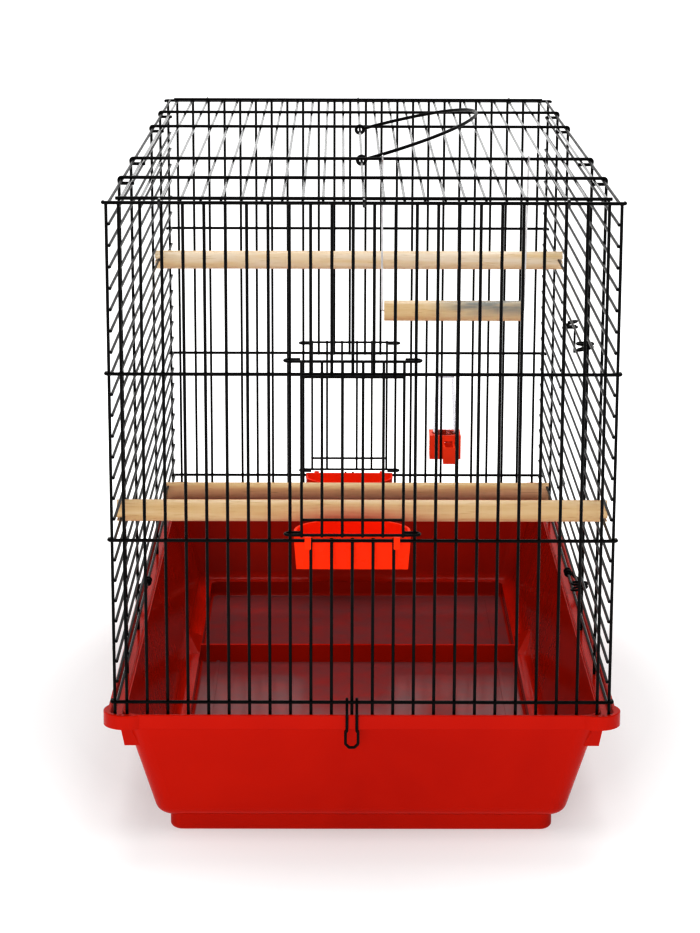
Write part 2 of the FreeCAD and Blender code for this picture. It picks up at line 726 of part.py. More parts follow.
def build_side_door():
    """Adds the hinged door of the right-hand panel."""
    bars = []
    for index in range(int(size("door_row_count"))):
        half = "( door_edge + stub_length )"
        start = ("door_bar_plane", f"-1 * {half}", f"door_low_row + {index} * row_pitch")
        bars.append(straight("side_door_bar", "y", "bar_radius", f"2 * {half}", start))
    group("side_door_bars", bars)
    foot = "door_low_row - edge_foot_share * row_pitch"
    height = "door_height + ( edge_foot_share + edge_head_share ) * row_pitch"
    group("side_door_edges", [
        straight("side_door_edge", "z", "bar_radius", height, ("door_plane", spot, foot))
        for spot in ("-1 * door_edge", "door_edge")
    ])
    near_leg = size("-1 * door_edge - 2 * bar_radius")
    far_leg = size("-1 * post_pitch - 2 * bar_radius - running_gap")
    inside = size("half_width - hinge_reach")
    outside = size("half_width + hinge_reach / 2")
    ring = [
        Vector(inside, far_leg, 0), Vector(inside, near_leg, 0),
        Vector(outside, near_leg, 0), Vector(outside, far_leg, 0),
    ]
    loop = bent_wire(ring, abs(near_leg - far_leg) / 2 - GAP, BAR, closed=True)
    low = "door_low_row + hinge_share * row_pitch"
    group("side_door_hinges", [
        shaped("side_door_hinge", loop, ("0", "0", level)) for level in (low, f"{low} + door_height")
    ])
    latch_leg = size("door_edge + 2 * bar_radius")
    latch_return = size("post_pitch + 2 * bar_radius + running_gap")
    inner_end = size("half_width - 2 * bar_radius")
    outer_end = size("half_width + latch_reach")
    return_end = size("half_width + 2 * bar_radius + running_gap")
    hook = bent_wire([
        Vector(inner_end, latch_leg, 0), Vector(outer_end, latch_leg, 0),
        Vector(outer_end, latch_return, 0), Vector(return_end, latch_return, 0),
    ], (latch_return - latch_leg) / 2 - GAP, BAR)
    level = "door_low_row + latch_share * door_height"
    finger_spot = "half_width + latch_reach - 2 * bar_radius"
    finger_middle = "post_pitch + running_gap / 2 - side_door_gap / 2 + 2 * bar_radius"
    finger = straight("side_door_finger", "z", "bar_radius", "finger_length",
                      (finger_spot, finger_middle, f"{level} - finger_length + 2 * bar_radius"))
    catch = straight("side_door_catch", "y", "bar_radius", "catch_length",
                     ("door_catch_plane", "post_pitch + side_door_gap - catch_length",
                      "door_low_row + catch_share * door_height"))
    group("side_door_latch", [shaped("side_door_hook", hook, ("0", "0", level)), finger, catch])


build_side_door()


# Handle: one bent wire with an eye at each end round the middle roof bar.

def build_handle():
    """Adds the carrying handle, leaning to the right on the roof."""
    wire = size("handle_radius")
    eye = BAR + size("eye_clearance") + wire
    spread = size("inner_cross - eye_inset")
    reach = size("handle_reach")
    bow = Part.Ellipse(Vector(0, spread, 0), Vector(reach, 0, 0), Vector())
    start = math.asin(eye / reach)
    arch = Part.ArcOfEllipse(bow, start, math.pi - start).toShape()
    section = Part.makeCircle(wire, arch.valueAt(start), arch.tangentAt(start))
    bail = Part.Wire(arch).makePipeShell([Part.Wire(section)], True, False)
    along = Vector(0, 1, 0)
    for end in (-spread, spread):
        bail = bail.fuse(Part.makeTorus(eye, wire, Vector(0, end, 0), along))
    lean = -size("handle_lean")
    node(shaped("handle_bail", bail.Solids[0], ("0", "0", "roof_level"), lean, along), "handle")


build_handle()


# Tray clips: bent wires that hang on the lowest wires and reach over the rim.

def tray_clip(label, core, out, base, turn):
    """Adds one clip; core is the radius of the wire it hangs on, out the distance to the rim's face."""
    eye = core + GAP + BAR
    leg = out + BAR + GAP
    half = size("clip_width") / 2
    top = size("tray_height - rail_level") + BAR + 2 * GAP
    step = size("rim_level - rail_level") - BAR - 2 * GAP
    loop = size("clip_loop") / 2
    shank = leg - size("clip_step")
    tip = step - size("clip_tail")
    corner = loop * size("clip_curve_share")
    path = [
        Vector(eye, -half, 0),
        Vector(leg, -half, top),
        Vector(leg, -half, step),
        Vector(shank, -loop, step),
        Vector(shank, -loop, tip + loop - corner),
        Vector(shank, -corner, tip),
    ]
    clip = bent_wire(with_mirror(path, FLIP_Y), BEND, BAR)
    for end in (-half, half):
        clip = clip.fuse(Part.makeTorus(eye, BAR, Vector(0, end, 0), Vector(0, 1, 0)))
    node(shaped(label + "_wire", clip.Solids[0], base, turn), label)


END_OUT = size("rim_length / 2 - rail_offset")
SIDE_OUT = size("rim_width / 2 - row_offset")
tray_clip("near_clip", RAIL, END_OUT, ("door_offset", "-1 * rail_offset", "rail_level"), -90)
tray_clip("far_clip", RAIL, END_OUT, ("door_offset", "rail_offset", "rail_level"), 90)
tray_clip("left_clip", BAR, SIDE_OUT, ("-1 * row_offset", "left_clip_position", "rail_level"), 180)
tray_clip("right_clip", BAR, SIDE_OUT, ("row_offset", "right_clip_position", "rail_level"), 0)


# Perches: dowels with a slot in each end that sits on a side row.

def perch(label):
    """Adds one perch; its slots straddle its two side rows."""
    half = "( row_offset + perch_overlap )"
    row = f"{label}_row"
    spot = f"{label}_position"
    dowel = straight(label + "_dowel", "x", "perch_radius", f"2 * {half}",
                     (f"-1 * {half}", spot, f"{row} + {label}_seat"))
    depth = "( perch_overlap + bar_radius + running_gap )"
    height = "( 2 * bar_radius + running_gap )"
    for side, start in (("left", f"-1 * {half}"), ("right", f"{half} - {depth}")):
        slot = box(f"{label}_{side}_slot", (depth, "2 * perch_radius", height),
                   (start, f"{spot} - perch_radius", f"{row} - {height} / 2"))
        dowel = boolean("Cut", f"{label}_{side}_cut", dowel, slot)
    node(dowel, label)


perch("low_perch")
perch("rear_perch")
perch("top_perch")


# Swing: a dowel between two wire hangers on a roof cross wire.

def build_swing():
    """Adds the swing's dowel and its two hangers."""
    wire = size("hanger_radius")
    eye = RAIL + GAP + wire
    drop = size("swing_drop")
    level = "( cross_level - swing_drop )"
    spot = "-1 * inner_cross"
    gap = size("swing_end_gap")
    pin_reach = gap + size("pin_depth")
    dowel = straight("swing_dowel", "x", "perch_radius", "swing_perch_length",
                     ("swing_perch_start", spot, level))
    for name, side, knee in (("left", -1, 0), ("right", 1, -gap)):
        path = [Vector(0, 0, -eye), Vector(knee, 0, -drop), Vector(knee - side * pin_reach, 0, -drop)]
        hanger = bent_wire(path, BEND, wire)
        hanger = hanger.fuse(Part.makeTorus(eye, wire, Vector(), Vector(1, 0, 0)))
        across = f"swing_middle + {side} * swing_span / 2"
        node(shaped(f"swing_{name}_wire", hanger.Solids[0], (across, spot, "cross_level")),
             f"swing_{name}_hanger")
        start = {"left": "swing_perch_start",
                 "right": "swing_perch_start + swing_perch_length - pin_depth"}[name]
        hole = straight(f"swing_{name}_hole", "x", "hanger_radius + pin_gap", "pin_depth",
                        (start, spot, level))
        dowel = boolean("Cut", f"swing_{name}_drilled", dowel, hole)
    node(dowel, "swing_perch")


build_swing()


# Feeder cups: moulded cups that hang inside the end panels on two tabs.

def cup_plan(half, front, back, bow, level):
    """Gives the closed outline of a cup: square front corners and a back bowed like half an ellipse."""
    bend = back - bow
    sides = [Vector(-half, bend, level), Vector(-half, front, level),
             Vector(half, front, level), Vector(half, bend, level)]
    edges = [Part.LineSegment(a, b).toShape() for a, b in zip(sides, sides[1:])]
    arch = Part.Ellipse(Vector(0, bend, level), half, bow)
    edges.append(Part.ArcOfEllipse(arch, 0, math.pi).toShape())
    return Part.Wire(edges)


def cup_shape():
    """Models one cup about the rail that it hangs on, facing -Y."""
    wall = size("feeder_wall")
    thick = size("tab_thickness")
    under = RAIL + GAP
    top = under + thick
    bottom = top - size("feeder_height")
    half = size("feeder_width / 2")
    front = size("rail_offset - feeder_face")
    back = size("rail_offset - feeder_back")
    bow = size("feeder_bow")
    draft = size("feeder_draft")
    low_front = front + size("feeder_front_draft")
    foot = cup_plan(half - draft, low_front, back - draft, bow - draft, bottom)
    outer = Part.makeLoft([foot, cup_plan(half, front, back, bow, top)], True, True)
    inset = wall + draft
    well = cup_plan(half - inset, low_front + wall, back - inset, bow - inset, bottom + wall)
    mouth = cup_plan(half - wall, front + wall, back - wall, bow - wall, top)
    cup = outer.cut(Part.makeLoft([well, mouth], True, True))
    soft = [edge for edge in cup.Edges
            if any(abs(edge.BoundBox.ZMin - z) < TINY and abs(edge.BoundBox.ZMax - z) < TINY
                   for z in (bottom, top))]
    cup = cup.makeFillet(size("feeder_round"), soft)
    width = size("tab_width")
    outside = -(under + thick)
    for side in (-1, 1):
        left = side * size("tab_spread") - width / 2
        bridge = Part.makeBox(width, front + wall / 2 - outside, thick, Vector(left, outside, under))
        drop = Part.makeBox(width, thick, size("tab_drop"), Vector(left, outside, top - size("tab_drop")))
        cup = cup.fuse(bridge).fuse(drop)
    return cup.removeSplitter().Solids[0]


CUP = cup_shape()
FEEDERS = (("near_feeder", NEAR, NEAR_SILL, 0), ("far_feeder", FAR, FAR_SILL, 180))
for label, side, sill, turn in FEEDERS:
    base = ("door_offset", f"{side} * rail_offset", f"rail_level + {sill} * rail_pitch")
    node(shaped(label + "_cup", CUP, base, turn), label)


# Drinker: a base with a trough that pokes between two far uprights, and a tube that stands in it.

def build_drinker():
    """Adds the drinker's base and tube outside the far panel."""
    face = "( half_length + bar_radius + pin_gap )"
    level = "( rail_level + drinker_rise )"
    block = box("drinker_block", ("drinker_width", "drinker_depth", "drinker_height"),
                ("drinker_offset - drinker_width / 2", face, level))
    arm = box("drinker_arm", ("trough_width", "trough_reach + drinker_wall", "trough_height"),
              ("trough_offset - trough_width / 2", f"{face} - trough_reach", level))
    solid = boolean("Fuse", "drinker_solid", block, arm)
    pool = box("drinker_pool", ("trough_width - 2 * drinker_wall", "trough_reach + drinker_depth / 2",
                                "trough_height"),
               ("trough_offset - trough_width / 2 + drinker_wall", f"{face} - trough_reach + drinker_wall",
                f"{level} + drinker_wall"))
    drained = boolean("Cut", "drinker_drained", solid, pool)
    middle = f"{face} + drinker_depth / 2"
    seat = straight("drinker_seat", "z", "tube_foot_radius + pin_gap", "tube_insert",
                    ("drinker_offset", middle, f"{level} + drinker_height - tube_insert"))
    seated = boolean("Cut", "drinker_seated", drained, seat)
    throat = straight("drinker_throat", "z", "tube_foot_radius - 2 * tube_wall",
                      "drinker_height - drinker_wall",
                      ("drinker_offset", middle, f"{level} + drinker_wall"))
    node(boolean("Cut", "drinker_bored", seated, throat), "drinker_base")
    foot = f"{level} + drinker_height - tube_insert"
    outer = doc.addObject("Part::Cone", "tube_outer")
    bind(outer, {"Radius1": "tube_foot_radius", "Radius2": "tube_head_radius",
                 "Height": "tube_height + tube_insert"})
    place(outer, ("drinker_offset", middle, foot))
    inner = doc.addObject("Part::Cone", "tube_inner")
    bind(inner, {"Radius1": "tube_foot_radius - tube_wall", "Radius2": "tube_head_radius - tube_wall",
                 "Height": "tube_height + tube_insert - tube_wall"})
    place(inner, ("drinker_offset", middle, foot))
    node(boolean("Cut", "tube_hollow", outer, inner), "drinker_tube")


build_drinker()
doc.recompute()

for thing in doc.Objects:
    faults = {"Invalid", "Error"} & set(thing.State)
    if faults:
        raise RuntimeError(f"{thing.Label} is {sorted(faults)}")
os.makedirs("parts", exist_ok=True)
for thing in nodes:
    shape = thing.Shape
    if shape.isNull() or not shape.isValid() or not shape.Solids:
        raise RuntimeError(f"{thing.Label} has no sound solid")
    shape.exportStep(f"parts/{thing.Label}.step")
    print(thing.Label, len(shape.Solids), round(shape.Volume, 1))
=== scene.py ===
"""Bird cage on a moulded tray: finishes, weld beads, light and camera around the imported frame."""

import logging
import math
from dataclasses import dataclass, field
from enum import Enum
from typing import Any, Iterable

import bmesh
import bpy
from mathutils import Matrix, Vector


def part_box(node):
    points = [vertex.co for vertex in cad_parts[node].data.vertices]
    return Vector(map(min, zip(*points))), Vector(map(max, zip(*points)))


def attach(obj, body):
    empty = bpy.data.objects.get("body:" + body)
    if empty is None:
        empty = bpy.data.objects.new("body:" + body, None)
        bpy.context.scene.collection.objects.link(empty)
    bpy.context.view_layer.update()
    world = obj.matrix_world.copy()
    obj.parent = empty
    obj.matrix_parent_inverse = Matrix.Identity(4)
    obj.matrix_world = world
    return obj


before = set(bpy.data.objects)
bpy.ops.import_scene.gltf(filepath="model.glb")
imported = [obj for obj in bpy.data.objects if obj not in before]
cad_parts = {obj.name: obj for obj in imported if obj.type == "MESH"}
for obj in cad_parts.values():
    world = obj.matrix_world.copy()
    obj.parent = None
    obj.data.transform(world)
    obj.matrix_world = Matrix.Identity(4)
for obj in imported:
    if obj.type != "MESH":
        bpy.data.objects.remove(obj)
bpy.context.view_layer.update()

MIX_SOCKETS = (0, 6, 7)
MIX_RESULT = 2
COMBINED_CURVE = 3
log = logging.getLogger("bird_cage")

Colour = tuple[float, float, float]
Spot = tuple[float, float, float]
Span = tuple[float, float]


class Slot(Enum):
    """A material slot name of the record, not given to any piece here."""

    WIRE = "black_wire"


class Body(Enum):
    """Bodies of the frame that new pieces ride on."""

    CAGE = "cage"
    NEAR_DOOR = "near_door"
    FAR_DOOR = "far_door"
    SIDE_DOOR = "side_door"


@dataclass(frozen=True)
class Pattern:
    """A cloudy pattern, with repeats per metre along each axis where it is stretched."""

    scale: float = 1.0
    detail: float = 3.0
    roughness: float = 0.5
    distortion: float = 0.0
    stretch: Spot | None = None


@dataclass(frozen=True)
class Relief:
    """Depth of a surface relief in metres and the share of it that shows."""

    depth: float
    strength: float


class NodeGraph:
    """A material's node tree, with short calls that add and join nodes."""

    def __init__(self, name: str) -> None:
        """Starts a material with a shader and an output.

        Args:
            name: Name of the new material.
        """
        self.material = bpy.data.materials.new(name)
        self.material.use_nodes = True
        self.tree = self.material.node_tree
        self.tree.nodes.clear()
        self.shader = self.add("ShaderNodeBsdfPrincipled")
        output = self.add("ShaderNodeOutputMaterial")
        self.tree.links.new(self.shader.outputs["BSDF"], output.inputs["Surface"])
        self.place = self.add("ShaderNodeTexCoord").outputs["Object"]

    def add(self, kind: str, inputs: dict[Any, Any] | None = None, **settings: Any) -> bpy.types.Node:
        """Adds one node.

        Args:
            kind: Blender's name for the node type.
            inputs: Socket name or number to a value, or to the socket that feeds it.
            **settings: Attributes of the node.

        Returns:
            The new node.
        """
        node = self.tree.nodes.new(kind)
        for key, value in settings.items():
            setattr(node, key, value)
        for key, value in (inputs or {}).items():
            self.feed(node.inputs[key], value)
        return node

    def feed(self, socket: bpy.types.NodeSocket, value: Any) -> None:
        """Joins or sets one input.

        Args:
            socket: The input.
            value: Another node's output, or the plain value to set.
        """
        if isinstance(value, bpy.types.NodeSocket):
            self.tree.links.new(value, socket)
        elif isinstance(value, tuple) and socket.type == "RGBA":
            socket.default_value = (*value, 1.0)
        else:
            socket.default_value = value

    def surface(self, **inputs: Any) -> None:
        """Sets inputs of the shader, with underscores for the spaces in their names."""
        for key, value in inputs.items():
            self.feed(self.shader.inputs[key.replace("_", " ")], value)

    def stretched(self, scale: Spot) -> bpy.types.NodeSocket:
        """Gives the object's own coordinates, with so many repeats per metre along each axis."""
        inputs = {0: self.place, 1: scale}
        return self.add("ShaderNodeVectorMath", inputs, operation="MULTIPLY").outputs[0]

    def axis(self, vector: bpy.types.NodeSocket, name: str) -> bpy.types.NodeSocket:
        """Picks a vector's X, Y or Z number."""
        return self.add("ShaderNodeSeparateXYZ", {0: vector}).outputs[name]

    def noise(self, pattern: Pattern) -> bpy.types.NodeSocket:
        """Adds cloudy noise.

        Args:
            pattern: How fine, how rough and how stretched it is.

        Returns:
            The noise, about 0.5.
        """
        where = self.stretched(pattern.stretch) if pattern.stretch else self.place
        inputs = {"Vector": where, "Scale": pattern.scale, "Detail": pattern.detail,
                  "Roughness": pattern.roughness, "Distortion": pattern.distortion}
        return self.add("ShaderNodeTexNoise", inputs).outputs["Fac"]

    def span(self, value: bpy.types.NodeSocket, start: Span,
             finish: Span = (0.0, 1.0)) -> bpy.types.NodeSocket:
        """Maps a stretch of one value onto another and holds it at the ends.

        Args:
            value: The value to map.
            start: Low and high of the value.
            finish: What those become.

        Returns:
            The mapped value.
        """
        inputs = {"Value": value, "From Min": start[0], "From Max": start[1],
                  "To Min": finish[0], "To Max": finish[1]}
        return self.add("ShaderNodeMapRange", inputs, clamp=True).outputs["Result"]

    def mix(self, share: Any, first: Any, second: Any) -> bpy.types.NodeSocket:
        """Mixes two colours.

        Args:
            share: How much of the second.
            first: First colour.
            second: Second colour.

        Returns:
            The mixed colour.
        """
        node = self.add("ShaderNodeMix", data_type="RGBA")
        for number, value in zip(MIX_SOCKETS, (share, first, second)):
            self.feed(node.inputs[number], value)
        return node.outputs[MIX_RESULT]

    def sum(self, first: Any, second: Any) -> bpy.types.NodeSocket:
        """Adds two numbers."""
        return self.add("ShaderNodeMath", {0: first, 1: second}, operation="ADD").outputs[0]

    def times(self, first: Any, second: Any) -> bpy.types.NodeSocket:
        """Multiplies two numbers."""
        return self.add("ShaderNodeMath", {0: first, 1: second}, operation="MULTIPLY").outputs[0]

    def bump(self, height: bpy.types.NodeSocket, relief: Relief,
             under: bpy.types.NodeSocket | None = None) -> bpy.types.NodeSocket:
        """Adds surface relief.

        Args:
            height: Pattern of the relief.
            relief: How deep it is and how much of it shows.
            under: Relief that this one lies on.

        Returns:
            The bumped normal.
        """
        inputs = {"Height": height, "Distance": relief.depth, "Strength": relief.strength}
        node = self.add("ShaderNodeBump", inputs)
        if under is not None:
            self.feed(node.inputs["Normal"], under)
        return node.outputs["Normal"]


@dataclass(frozen=True)
class Finish:
    """One finish, made into a material the first time that it is asked for."""

    name: str

    def material(self) -> bpy.types.Material:
        """Gives the finish's material."""
        return bpy.data.materials.get(self.name) or self.make(NodeGraph(self.name))

    def make(self, graph: NodeGraph) -> bpy.types.Material:
        """Fills in the node tree; each finish has its own way."""
        raise NotImplementedError

    def lay(self, piece: bpy.types.Object) -> None:
        """Puts the finish on a piece, in place of what it had."""
        piece.data.materials.clear()
        piece.data.materials.append(self.material())


@dataclass(frozen=True)
class LacquerFinish(Finish):
    """Black lacquer over drawn wire, with thin spots, dust and a slightly uneven gloss."""

    colour: Colour = (0.002, 0.0019, 0.002)
    thin: Colour = (0.006, 0.0057, 0.0057)
    cloud: Pattern = Pattern(90.0, detail=4.0)
    cloud_span: Span = (0.4, 0.7)
    dust: Pattern = Pattern(1400.0, detail=2.0)
    dust_span: Span = (0.62, 0.7)
    dust_share: Span = (0.0, 0.6)
    ripple: Pattern = Pattern(700.0)
    ripple_relief: Relief = Relief(0.00012, 0.35)
    sheen: Pattern = Pattern(260.0)
    sheen_span: Span = (0.3, 0.7)
    gloss: Span = (0.14, 0.28)
    shine: float = 0.08
    clear: float = 0.0
    clear_index: float = 1.6
    clear_gloss: float = 0.12
    build_up: float = 0.00015

    def make(self, graph: NodeGraph) -> bpy.types.Material:
        """Builds the lacquer.

        Args:
            graph: Empty node tree.

        Returns:
            The finished material.
        """
        tone = graph.mix(graph.span(graph.noise(self.cloud), self.cloud_span), self.colour, self.thin)
        speck = graph.span(graph.noise(self.dust), self.dust_span, self.dust_share)
        graph.surface(Base_Color=graph.mix(speck, tone, self.thin),
                      Normal=graph.bump(graph.noise(self.ripple), self.ripple_relief),
                      Roughness=graph.span(graph.noise(self.sheen), self.sheen_span, self.gloss))
        graph.surface(Specular_IOR_Level=self.shine, Coat_Weight=self.clear,
                      Coat_IOR=self.clear_index, Coat_Roughness=self.clear_gloss)
        return graph.material

    def lay(self, piece: bpy.types.Object) -> None:
        """Puts the lacquer on a wire, which grows by the coat's thickness.

        Args:
            piece: The wire to cover.
        """
        super().lay(piece)
        coat = piece.modifiers.new("lacquer_coat", "DISPLACE")
        coat.strength = self.build_up
        coat.mid_level = 0.0


@dataclass(frozen=True)
class DrawnWireFinish(Finish):
    """Plain drawn steel wire with faint lines along it and a dull film."""

    bright: Colour = (0.74, 0.73, 0.74)
    dull: Colour = (0.52, 0.51, 0.51)
    lines: Pattern = Pattern(detail=2.0, stretch=(4000.0, 4000.0, 90.0))
    line_relief: Relief = Relief(0.00005, 0.4)
    film: Pattern = Pattern(120.0, detail=5.0)
    tone_span: Span = (0.35, 0.7)
    gloss_span: Span = (0.3, 0.7)
    gloss: Span = (0.26, 0.5)
    metal: float = 0.5

    def make(self, graph: NodeGraph) -> bpy.types.Material:
        """Builds the wire's steel.

        Args:
            graph: Empty node tree.

        Returns:
            The finished material.
        """
        film = graph.noise(self.film)
        graph.surface(Base_Color=graph.mix(graph.span(film, self.tone_span), self.bright, self.dull),
                      Normal=graph.bump(graph.noise(self.lines), self.line_relief),
                      Roughness=graph.span(film, self.gloss_span, self.gloss), Metallic=self.metal)
        return graph.material


@dataclass(frozen=True)
class MouldedFinish(Finish):
    """Gloss moulded plastic: clouded colour, fine orange peel, rubbed patches and hairline scratches."""

    colour: Colour = (0.46, 0.011, 0.001)
    deep: Colour = (0.41, 0.008, 0.001)
    cloud: Pattern = Pattern(14.0, detail=5.0, distortion=0.4)
    cloud_span: Span = (0.35, 0.7)
    rubbed: Pattern = Pattern(45.0, detail=6.0, roughness=0.6)
    rubbed_span: Span = (0.3, 0.75)
    gloss: Span = (0.1, 0.22)
    hairs: Pattern = Pattern(distortion=0.6, stretch=(40.0, 900.0, 700.0))
    hair_span: Span = (0.68, 0.78)
    hair_share: Span = (0.0, 0.6)
    hair_dulling: float = 0.12
    hair_relief: Relief = Relief(0.00002, 0.1)
    peel: Pattern = Pattern(300.0, detail=1.0)
    peel_relief: Relief = Relief(0.0001, 0.05)
    shine: float = 0.08
    index: float = 1.5
    # painted light: strength of an emission in the plastic's own colour, though the part is no lamp
    painted_glow: float = 0.0
    # painted reflection: a mauve tint mixed into the colour of low faces that look upwards, standing in for
    # the pale backdrop reflected in the tray's floor; the settings below place it and lay a clear coat over
    # it
    film: Colour = (0.2, 0.062, 0.067)
    painted_reflection_level: float = 0.0
    painted_reflection_fade: float = 1.4
    painted_reflection_facing: Span = (0.7, 0.95)
    painted_reflection_span: Span = (0.3, 0.7)
    painted_reflection_share: Span = (0.6, 1.0)
    painted_reflection_coat: float = 0.5
    painted_reflection_coat_roughness: float = 0.12

    def make(self, graph: NodeGraph) -> bpy.types.Material:
        """Builds the plastic.

        Args:
            graph: Empty node tree.

        Returns:
            The finished material.
        """
        tone = graph.mix(graph.span(graph.noise(self.cloud), self.cloud_span), self.colour, self.deep)
        rubbed = graph.noise(self.rubbed)
        scratch = graph.span(graph.noise(self.hairs), self.hair_span, self.hair_share)
        rough = graph.sum(graph.span(rubbed, self.rubbed_span, self.gloss),
                          graph.times(scratch, self.hair_dulling))
        peel = graph.bump(graph.noise(self.peel), self.peel_relief)
        graph.surface(Base_Color=tone, Roughness=rough, Normal=graph.bump(scratch, self.hair_relief, peel))
        graph.surface(Specular_IOR_Level=self.shine, IOR=self.index)
        # painted light: the plastic emits its own colour, though it is no lamp
        if self.painted_glow:
            graph.surface(Emission_Color=tone, Emission_Strength=self.painted_glow)
        # painted reflection tint on the low floor
        if self.painted_reflection_level:
            self.paint_reflection_tint(graph, tone, rubbed)
        return graph.material

    def paint_reflection_tint(self, graph: NodeGraph, tone: bpy.types.NodeSocket, patches: bpy.types.NodeSocket) -> None:
        """Paints a mauve reflection tint, with a clear coat over it, on low faces that look upwards.

        Args:
            graph: The plastic's node tree.
            tone: Colour of the plastic without the painted reflection.
            patches: Cloudy pattern that the painted reflection follows.
        """
        facing = graph.axis(graph.add("ShaderNodeNewGeometry").outputs["Normal"], "Z")
        level = (self.painted_reflection_level, self.painted_reflection_level * self.painted_reflection_fade)
        low = graph.span(graph.axis(graph.place, "Z"), level, (1.0, 0.0))
        share = graph.times(graph.span(facing, self.painted_reflection_facing), low)
        cloudy = graph.times(share, graph.span(patches, self.painted_reflection_span, self.painted_reflection_share))
        # painted reflection: the base colour turns mauve where the mask is high
        graph.surface(Base_Color=graph.mix(cloudy, tone, self.film),
                      Coat_Weight=graph.times(cloudy, self.painted_reflection_coat), Coat_Roughness=self.painted_reflection_coat_roughness)


@dataclass(frozen=True)
class ClearFinish(Finish):
    """Clear moulded tube with faint flow lines, a little haze and painted dark rims that follow the view
    angle.
    """

    tint: Colour = (0.95, 0.945, 0.96)
    # painted shade: colour that the tube turns towards where it is seen edge-on
    edge: Colour = (0.16, 0.14, 0.18)
    painted_rim_span: Span = (0.2, 0.75)
    painted_rim_blend: float = 0.5
    flow: Pattern = Pattern(stretch=(160.0, 160.0, 20.0))
    flow_relief: Relief = Relief(0.0002, 0.1)
    haze: Pattern = Pattern(80.0)
    haze_span: Span = (0.3, 0.7)
    gloss: Span = (0.02, 0.07)
    index: float = 1.49

    def make(self, graph: NodeGraph) -> bpy.types.Material:
        """Builds the clear plastic.

        Args:
            graph: Empty node tree.

        Returns:
            The finished material.
        """
        # painted shade: the colour darkens towards the rims as the surface turns away from the view
        painted_rim = graph.add("ShaderNodeLayerWeight", {"Blend": self.painted_rim_blend}).outputs["Facing"]
        graph.surface(Base_Color=graph.mix(graph.span(painted_rim, self.painted_rim_span), self.tint, self.edge),
                      Normal=graph.bump(graph.noise(self.flow), self.flow_relief),
                      Roughness=graph.span(graph.noise(self.haze), self.haze_span, self.gloss))
        graph.surface(Transmission_Weight=1.0, IOR=self.index)
        return graph.material


@dataclass(frozen=True)
class DowelFinish(Finish):
    """Bare turned wood whose grain runs along the dowel, with pores, streaks and an optional stain."""

    pale: Colour = (0.79, 0.665, 0.52)
    warm: Colour = (0.72, 0.53, 0.335)
    pore: Colour = (0.36, 0.2, 0.08)
    stain: Colour = (0.26, 0.26, 0.24)
    bands: Pattern = Pattern(detail=4.0, distortion=0.8, stretch=(7.0, 130.0, 130.0))
    band_span: Span = (0.36, 0.66)
    streaks: Pattern = Pattern(detail=4.0, roughness=0.6, stretch=(26.0, 700.0, 700.0))
    streak_span: Span = (0.5, 0.75)
    streak_share: Span = (0.0, 0.5)
    streak_relief: Relief = Relief(0.0003, 0.3)
    pores: Pattern = Pattern(detail=2.0, stretch=(70.0, 1500.0, 1500.0))
    pore_span: Span = (0.62, 0.74)
    pore_share: Span = (0.0, 0.5)
    pore_relief: Relief = Relief(0.0002, 0.4)
    gloss_span: Span = (0.3, 0.7)
    gloss: Span = (0.5, 0.68)
    shine: float = 0.35
    stained_from: float | None = None
    stained_to: float = 0.0
    stained_level: float = 0.0
    stain_edge: Span = (-0.006, 0.003)
    blots: Pattern = Pattern(detail=5.0, stretch=(50.0, 260.0, 260.0))
    blot_span: Span = (0.34, 0.6)
    blot_share: Span = (0.5, 1.0)

    def make(self, graph: NodeGraph) -> bpy.types.Material:
        """Builds the wood.

        Args:
            graph: Empty node tree.

        Returns:
            The finished material.
        """
        band = graph.noise(self.bands)
        streak = graph.noise(self.streaks)
        pores = graph.span(graph.noise(self.pores), self.pore_span, self.pore_share)
        tone = graph.mix(graph.span(band, self.band_span), self.pale, self.warm)
        lined = graph.mix(graph.span(streak, self.streak_span, self.streak_share), tone, self.warm)
        wood = graph.mix(pores, lined, self.pore)
        if self.stained_from is not None:
            wood = self.stained(graph, wood)
        grain = graph.bump(streak, self.streak_relief)
        graph.surface(Base_Color=wood, Normal=graph.bump(pores, self.pore_relief, grain),
                      Roughness=graph.span(band, self.gloss_span, self.gloss))
        graph.surface(Specular_IOR_Level=self.shine)
        return graph.material

    def stained(self, graph: NodeGraph, wood: bpy.types.NodeSocket) -> bpy.types.NodeSocket:
        """Darkens the upper side of the dowel towards one end.

        Args:
            graph: The wood's node tree.
            wood: Colour of the clean wood.

        Returns:
            The stained colour.
        """
        along = graph.span(graph.axis(graph.place, "X"), (self.stained_from, self.stained_to))
        edge = (self.stained_level + self.stain_edge[0], self.stained_level + self.stain_edge[1])
        above = graph.span(graph.axis(graph.place, "Z"), edge)
        blot = graph.span(graph.noise(self.blots), self.blot_span, self.blot_share)
        return graph.mix(graph.times(graph.times(along, above), blot), wood, self.stain)


@dataclass(frozen=True)
class PaperFinish(Finish):
    """Plain pale paper for the floor that glows like a light table, with a painted shadow: the emission is
    dimmer round the tray's foot.
    """

    colour: Colour = (0.44, 0.44, 0.44)
    gloss: float = 0.6
    shine: float = 0.1
    light: Colour = (1.0, 1.0, 1.0)
    # painted shadow: emission strength near the tray's foot and far from it
    painted_glow: Span = (0.47, 1.0)
    # distances from the cage's centre over which the painted shadow fades out
    reach: Span = (0.25, 0.54)
    narrow: float = 1.25

    def make(self, graph: NodeGraph) -> bpy.types.Material:
        """Builds the paper.

        Args:
            graph: Empty node tree.

        Returns:
            The finished material.
        """
        graph.surface(Base_Color=self.colour, Roughness=self.gloss, Specular_IOR_Level=self.shine)
        # painted shadow: emission grows with the distance from the cage's centre, measured in an oval
        # narrowed across
        oval = graph.stretched((self.narrow, 1.0, 1.0))
        away = graph.add("ShaderNodeVectorMath", {0: oval}, operation="LENGTH").outputs["Value"]
        graph.surface(Emission_Color=self.light, Emission_Strength=graph.span(away, self.reach, self.painted_glow))
        return graph.material


